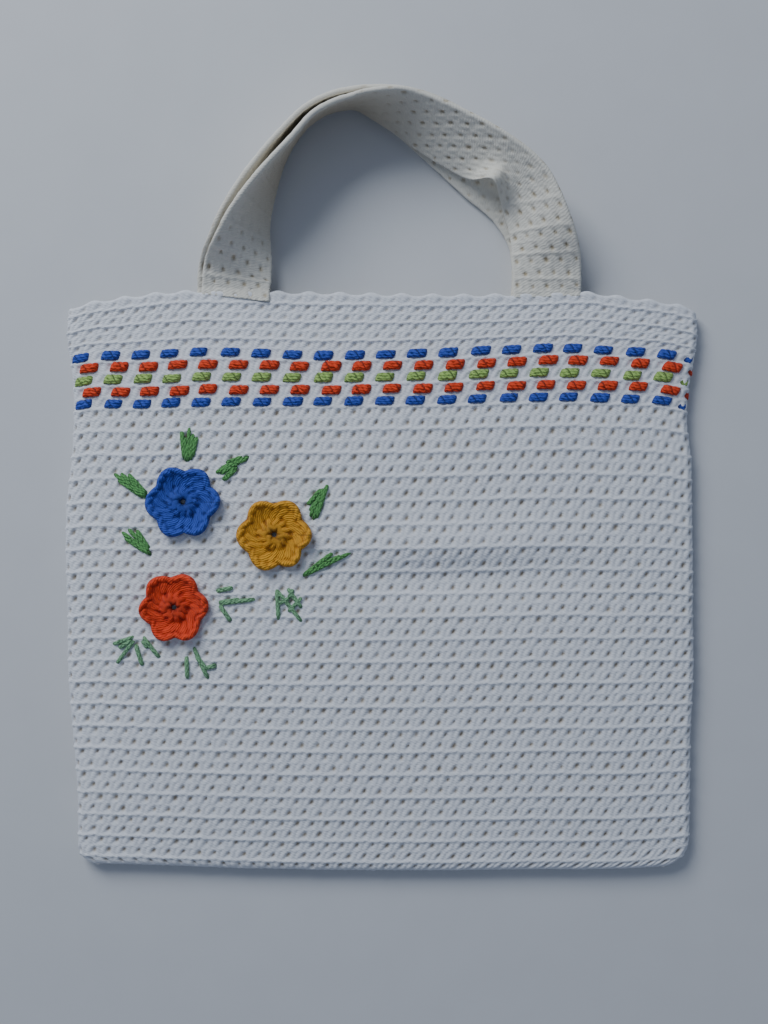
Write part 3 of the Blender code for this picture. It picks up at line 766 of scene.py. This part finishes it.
def makeFlower(name, across, up, size, petals, slotName, node):
    middle = np.array([across * pouch["width"] / 2, up * pouch["depth"] / 2])
    chance = np.random.default_rng(sum(ord(letter) for letter in name))
    degrees, share = np.meshgrid(np.arange(flower["around"]) * 360 / flower["around"],
                                 np.linspace(0, 1, flower["rings"]), indexing="xy")
    within, lobe = petalShare(degrees, petals)
    full = flower["width"] / 2 * size
    angle = np.radians(degrees)
    turnA, turnB = chance.uniform(0.0, 6.28, 2)
    reach = full * (1 - flower["notch"] * (1 - lobe)) * (1 + 0.015 * np.cos(2 * angle + turnA))
    radius = flower["hole"] / 2 + (reach - flower["hole"] / 2) * share
    x = middle[0] + radius * np.cos(angle)
    y = middle[1] + radius * np.sin(angle)
    fromNotch = (0.5 - np.abs(within - 0.5)) * 2 * np.pi * radius / len(petals)
    notch = np.exp(-(fromNotch / 0.0014) ** 2)
    outer = np.clip((share - 0.50) / 0.30, 0, 1)
    curled = 1 + 0.25 * np.cos(3 * angle + turnB)
    cup = curveThrough(cupLine, share)[0] * flower["cup"] * (1 - 0.40 * (1 - lobe) * outer) * curled
    floor = panelHeight(x, y, 1) + pouch["gap"]
    relief = np.full(x.shape, -0.0002)
    for count, at, halfWide, halfLong, slant, tall in flowerRounds:
        wobble = chance.normal(0.0, 1.0, (count, 3))
        place = angle * count / (2 * np.pi) + chance.uniform()
        nearest = np.floor(place).astype(int)
        for step in (0, 1):
            strand = nearest + step
            rough = wobble[strand % count]
            aside = (place - strand) * 2 * np.pi / count * at * reach
            away = radius - at * reach + rough[..., 0] * 0.0002
            short, long = turned(aside, away, slant + rough[..., 1] * 6)
            loop = dome(short, long, halfWide * size, halfLong * size) ** 1.3 * tall * (1 + 0.15 * rough[..., 2])
            relief = np.maximum(relief, loop - 0.0002)
    # a small hole at the foot of each petal
    pits = np.zeros(x.shape)
    for direction in petals:
        turn = math.radians(direction + 6 * chance.normal())
        far = full * (0.42 + 0.02 * chance.normal())
        off = np.hypot(x - middle[0] - far * math.cos(turn), y - middle[1] - far * math.sin(turn))
        pits = np.maximum(pits, np.exp(-(off / 0.0008) ** 2) * (0.6 + 0.4 * chance.uniform()))
    relief = relief - pits * 0.0009 - notch * outer * 0.0004
    rounded = np.sqrt(np.clip(1 - np.clip((share - 0.93) / 0.07, 0, 1) ** 2, 0, 1))
    roundedIn = np.sqrt(np.clip(1 - np.clip((0.07 - share) / 0.07, 0, 1) ** 2, 0, 1))
    body = flower["thickness"] * (0.35 + 0.45 * rounded * roundedIn)
    top = floor + cup + body + relief * np.minimum(rounded + 0.3, 1)
    bottom = floor + cup * 0.9 + flower["thickness"] * 0.2 * (1 - rounded)
    upper = np.stack([x, y, top], axis=-1)
    lower = np.stack([x, y, bottom], axis=-1)[::-5][::-1]
    # painted shade: in the holes at the petals' feet, low between the strands, and in the notches
    paintedShade = np.clip(pits * 0.9 + np.clip((0.00030 - relief) / 0.0006, 0, 1) * 0.85 + notch * outer * 0.15, 0, 1)
    rows, columns = x.shape
    lowRows = len(lower)
    faces = gridFaces(rows, columns, wrap=True)[:, ::-1].tolist()
    faces += gridFaces(lowRows, columns, start=rows * columns, wrap=True).tolist()
    for c in range(columns):
        after = (c + 1) % columns
        topEdge = (rows - 1) * columns
        lowEdge = rows * columns + (lowRows - 1) * columns
        faces.append((lowEdge + c, lowEdge + after, topEdge + after, topEdge + c))
        faces.append((rows * columns + after, rows * columns + c, c, after))
    places = np.concatenate([upper.reshape(-1, 3), lower.reshape(-1, 3)])
    flat = np.stack([degrees / 360 * 0.07, radius], axis=-1)
    uv = np.concatenate([flat.reshape(-1, 2), flat[::-5][::-1].reshape(-1, 2)])
    # the underside gets an even painted shade
    dark = np.concatenate([paintedShade.ravel(), np.full(lowRows * columns, 0.5)])
    material = dyed[slotName.split("_")[0] + "Cotton"]
    return makePiece(name, places, faces, material, uv, dark, instead=(node,))


for row in flowers:
    makeFlower(*row)
print("flowers worked")


def strandMesh(starts, ends, lifts, wide, high, options):
    # short stitches of plied yarn, all in one mesh: each dives into the cloth at both ends
    along = options["along"]
    around = options["around"]
    s = np.linspace(0, 1, along)
    theta = np.arange(around) * 2 * math.pi / around
    # the mesh turns with the twist, so that the creases between the four plies run along its lines
    crease = np.abs(np.sin(2 * theta)) ** 0.5
    places, faces, uvs, paintedShades = [], [], [], []
    for index, (start, end, up) in enumerate(zip(starts, ends, lifts)):
        length = np.linalg.norm(end - start)
        forward = (end - start) / length
        sideways = np.cross(up, forward)
        sideways /= np.linalg.norm(sideways)
        normal = np.cross(forward, sideways)
        chance = np.random.default_rng(options["seed"] + index)
        size = 1 + 0.05 * chance.normal()
        arch = 1 - np.abs(2 * s - 1) ** options["archPower"]
        taper = options["taper"] + (1 - options["taper"]) * np.clip(arch, 0, 1) ** 0.6
        centre = start + (end - start) * s[:, None] + normal * (arch * options["rise"] - options["dive"])[:, None]
        angle = theta[None, :] + (s[:, None] - 0.5) * length * options["twist"] + chance.uniform() * math.pi
        radius = (0.82 + 0.18 * crease)[None, :] * size * taper[:, None]
        offWide = np.cos(angle) * wide / 2 * radius
        offHigh = np.sin(angle) * high / 2 * radius
        slant = options["slant"] * offWide
        ring = centre[:, None, :] + sideways * offWide[..., None] + normal * offHigh[..., None]
        ring = ring + forward * slant[..., None]
        first = sum(len(p) for p in places)
        places.append(ring.reshape(-1, 3))
        places.append(np.stack([ring[0].mean(axis=0), ring[-1].mean(axis=0)]))
        faces.append(gridFaces(along, around, start=first, wrap=True)[:, ::-1])
        uvs.append(np.stack(np.broadcast_arrays(theta[None, :] * wide / 2, s[:, None] * length), axis=-1).reshape(-1, 2))
        uvs.append(np.zeros((2, 2)))
        # painted shade: in the creases between the plies, towards the ends where each stitch dives into the cloth,
        # and on the end caps
        atEnds = np.clip((np.abs(2 * s - 1) - 0.82) / 0.18, 0, 1) * 0.5
        paintedShades.append(np.clip((1 - crease)[None, :] * 0.58 + atEnds[:, None], 0, 1).ravel())
        paintedShades.append(np.array([0.9, 0.9]))
        last = first + along * around
        caps = []
        for c in range(around):
            after = (c + 1) % around
            caps.append((last, first + c, first + after))
            caps.append((last + 1, last - around + after, last - around + c))
        faces.append(np.array(caps))
    flatFaces = [face for group in faces for face in group.tolist()]
    return np.concatenate(places), flatFaces, np.concatenate(uvs), np.concatenate(paintedShades)


# the band: row, first stitch, yarn, plumpness
band = {
    "rows": [
        (45.5, 0.34, "blue"), (44.5, 0.82, "orange"), (43.5, 0.37, "green"),
        (42.5, 0.86, "orange"), (41.5, 0.36, "blue"),
    ],
    "pitch": 2.01,
    "length": 1.24,
    "width": {"blue": 0.0044, "orange": 0.0047, "green": 0.0045},
    "height": {"blue": 0.0022, "orange": 0.0027, "green": 0.0023},
}

# how far the sewing has drifted along the front: place across, stitches
driftLine = [
    (-1.00, 0.17), (-0.82, 0.11), (-0.70, -0.04), (-0.57, -0.10), (-0.45, -0.12), (-0.20, -0.08), (0.05, -0.05),
    (0.20, 0.00), (0.31, 0.08), (0.43, 0.05), (0.55, 0.00), (0.68, 0.05), (0.80, 0.10), (1.00, 0.13),
]
bandStrand = {
    "along": 17, "around": 16, "archPower": 6, "rise": 0.0021, "dive": 0.0014, "twist": 560.0,
    "taper": 0.66, "slant": 0.35, "seed": 5,
}


def roundBag(u, v):
    # a place and its outward direction anywhere round the pouch, past the seams onto the back
    stitches = crochet["stitches"]
    u = u % (2 * stitches)
    side = 1 if u <= stitches else -1
    here = u if side > 0 else 2 * stitches - u
    step = 0.15
    low, high = max(here - step, 0.0), min(here + step, stitches)
    run = panelPoint(high, v, side) - panelPoint(low, v, side)
    rise = panelPoint(here, v + step, side) - panelPoint(here, v - step, side)
    out = np.cross(run, rise) * side
    return panelPoint(here, v, side), out / np.linalg.norm(out)


for yarn, finishName, slotName in (
    ("blue", "blueCotton", "blue_cotton"), ("orange", "redCotton", "red_cotton"), ("green", "limeCotton", "green_cotton"),
):
    starts, ends, lifts = [], [], []
    for rowPlace, firstStitch, rowYarn in band["rows"]:
        if rowYarn != yarn:
            continue
        chance = np.random.default_rng(int(rowPlace * 10))
        for k in range(int(2 * crochet["stitches"] / band["pitch"])):
            at = firstStitch + k * band["pitch"]
            at += curveThrough(driftLine, 2 * at / crochet["stitches"] - 1)[0] + chance.normal() * 0.02
            rowAt = rowPlace + chance.normal() * 0.04
            start, outA = roundBag(at, rowAt)
            end, outB = roundBag(at + band["length"] + chance.normal() * 0.04, rowAt)
            starts.append(start)
            ends.append(end)
            lifts.append(outA + outB)
    places, faces, uv, dark = strandMesh(
        starts, ends, lifts, band["width"][yarn], band["height"][yarn], bandStrand
    )
    makePiece("band_" + yarn, places, faces, dyed[finishName], uv, dark)
print("band sewn")

# straight stitches of the leaves, from base to tip on the front, in millimetres
closeLeaves = [
    ((-93.9, 59.3), (-95.3, 73.2)), ((-93.0, 58.3), (-94.0, 70.2)), ((-92.2, 57.9), (-91.7, 74.8)),
    ((-91.2, 58.8), (-89.9, 71.6)), ((-90.3, 60.5), (-88.2, 70.1)), ((-92.4, 59.0), (-92.6, 67.0)),
    ((-79.5, 52.8), (-63.1, 60.7)), ((-76.6, 55.2), (-64.3, 59.5)), ((-74.3, 57.6), (-66.2, 60.5)),
    ((-75.9, 49.3), (-68.9, 56.2)), ((-74.9, 49.4), (-69.2, 55.0)), ((-77.0, 52.4), (-67.5, 58.3)),
    ((-111.9, 40.9), (-127.8, 52.6)), ((-111.9, 41.9), (-124.7, 52.8)), ((-111.9, 42.8), (-120.9, 52.4)),
    ((-113.8, 41.4), (-126.1, 50.0)),
    ((-110.2, 14.0), (-124.0, 24.8)), ((-110.4, 15.2), (-120.9, 26.4)), ((-110.9, 16.7), (-116.9, 25.7)),
    ((-112.3, 15.2), (-122.8, 22.4)),
    ((-31.4, 30.9), (-25.9, 47.6)), ((-32.8, 30.7), (-26.7, 44.7)), ((-34.3, 31.9), (-27.8, 45.7)),
    ((-35.5, 37.6), (-28.8, 45.2)), ((-34.5, 34.7), (-28.1, 43.3)),
    ((-37.8, 3.8), (-23.3, 15.0)), ((-37.6, 3.8), (-15.0, 15.0)), ((-34.7, 6.2), (-19.5, 13.6)),
    ((-36.2, 4.8), (-27.1, 12.4)),
]
looseLeaves = [
    ((-79.0, -3.3), (-70.9, -1.7)), ((-77.8, -9.3), (-60.0, -7.1)), ((-77.8, -8.6), (-67.6, -7.1)),
    ((-77.3, -9.8), (-71.9, -17.6)),
    ((-50.0, -2.1), (-49.2, -17.1)), ((-50.0, -2.9), (-37.8, -18.3)), ((-45.0, -1.9), (-38.1, -11.4)),
    ((-50.0, -9.5), (-43.8, -6.7)), ((-44.7, -13.3), (-38.1, -6.2)), ((-44.3, -6.7), (-42.4, -2.4)),
    ((-128.5, -28.8), (-118.0, -25.0)), ((-126.6, -38.1), (-118.0, -26.7)), ((-125.7, -30.5), (-118.5, -26.7)),
    ((-117.3, -28.6), (-114.0, -39.0)), ((-113.8, -25.0), (-105.9, -35.0)), ((-114.2, -26.7), (-111.4, -30.5)),
    ((-93.0, -34.3), (-92.6, -45.2)), ((-89.6, -30.0), (-82.8, -45.0)), ((-88.5, -33.8), (-83.3, -40.9)),
    ((-84.3, -40.0), (-78.8, -38.6)),
]
leafStrand = {
    "along": 17, "around": 16, "archPower": 6, "rise": 0.0013, "dive": 0.0007, "twist": 620.0,
    "taper": 0.5, "slant": 0.0, "seed": 90,
}


def onFront(across, up):
    # a place on the front, given in millimetres
    x, y = np.array(across * 0.001), np.array(up * 0.001)
    return np.array([x, y, panelHeight(x, y, 1)])


for name, strokes, wide, finishName in (
    ("close_leaves", closeLeaves, 0.0022, "leafCotton"), ("loose_leaves", looseLeaves, 0.0021, "paleLeafCotton"),
):
    starts = [onFront(*base) for base, tip in strokes]
    ends = [onFront(*tip) for base, tip in strokes]
    lifts = [np.array([0.0, 0.0, 1.0])] * len(strokes)
    places, faces, uv, dark = strandMesh(starts, ends, lifts, wide, 0.0016, leafStrand)
    makePiece(name, places, faces, dyed[finishName], uv, dark)
print("leaves sewn")

# a pale floor and soft light from the strap side
room = {"floor": (0.62, 0.62, 0.63, 1.0), "sky": (0.62, 0.75, 1.0, 1.0), "skyStrength": 0.29}
floorFinish = Finish("paleFloor")
place = floorFinish.node("ShaderNodeTexCoord").out("Object")
grain = floorFinish.node("ShaderNodeTexNoise", {}, {"Vector": place, "Scale": 40.0, "Detail": 3.0}).out(0)
floorShader = floorFinish.node("ShaderNodeBsdfPrincipled", {}, {
    "Base Color": floorFinish.blend(grain, room["floor"], (0.66, 0.66, 0.67, 1.0)),
    "Roughness": 0.9,
}).out()
floorFinish.node("ShaderNodeOutputMaterial", {}, {0: floorShader})
floorMesh = bpy.data.meshes.new("floor")
floorMesh.from_pydata([(-3, -3, 0), (3, -3, 0), (3, 3, 0), (-3, 3, 0)], [], [(0, 1, 2, 3)])
floorMesh.materials.append(floorFinish.material)
floorPiece = bpy.data.objects.new("floor", floorMesh)
bpy.context.scene.collection.objects.link(floorPiece)

world = bpy.data.worlds.new("room")
world.use_nodes = True
world.node_tree.nodes["Background"].inputs[0].default_value = room["sky"]
world.node_tree.nodes["Background"].inputs[1].default_value = room["skyStrength"]
bpy.context.scene.world = world

lamps = [
    ("window", (-0.62, 1.0, 0.90), 0.7, 16.5, (0.88, 0.94, 1.0)),
]
for name, at, size, power, colour in lamps:
    light = bpy.data.lights.new(name, "AREA")
    light.size = size
    light.energy = power
    light.color = colour
    lamp = bpy.data.objects.new(name, light)
    lamp.location = at
    away = np.array(at) - np.array([0.0, 0.03, 0.0])
    lamp.rotation_euler = (math.acos(away[2] / np.linalg.norm(away)), 0.0, math.atan2(away[1], away[0]) + math.pi / 2)
    bpy.context.scene.collection.objects.link(lamp)
print("room lit")
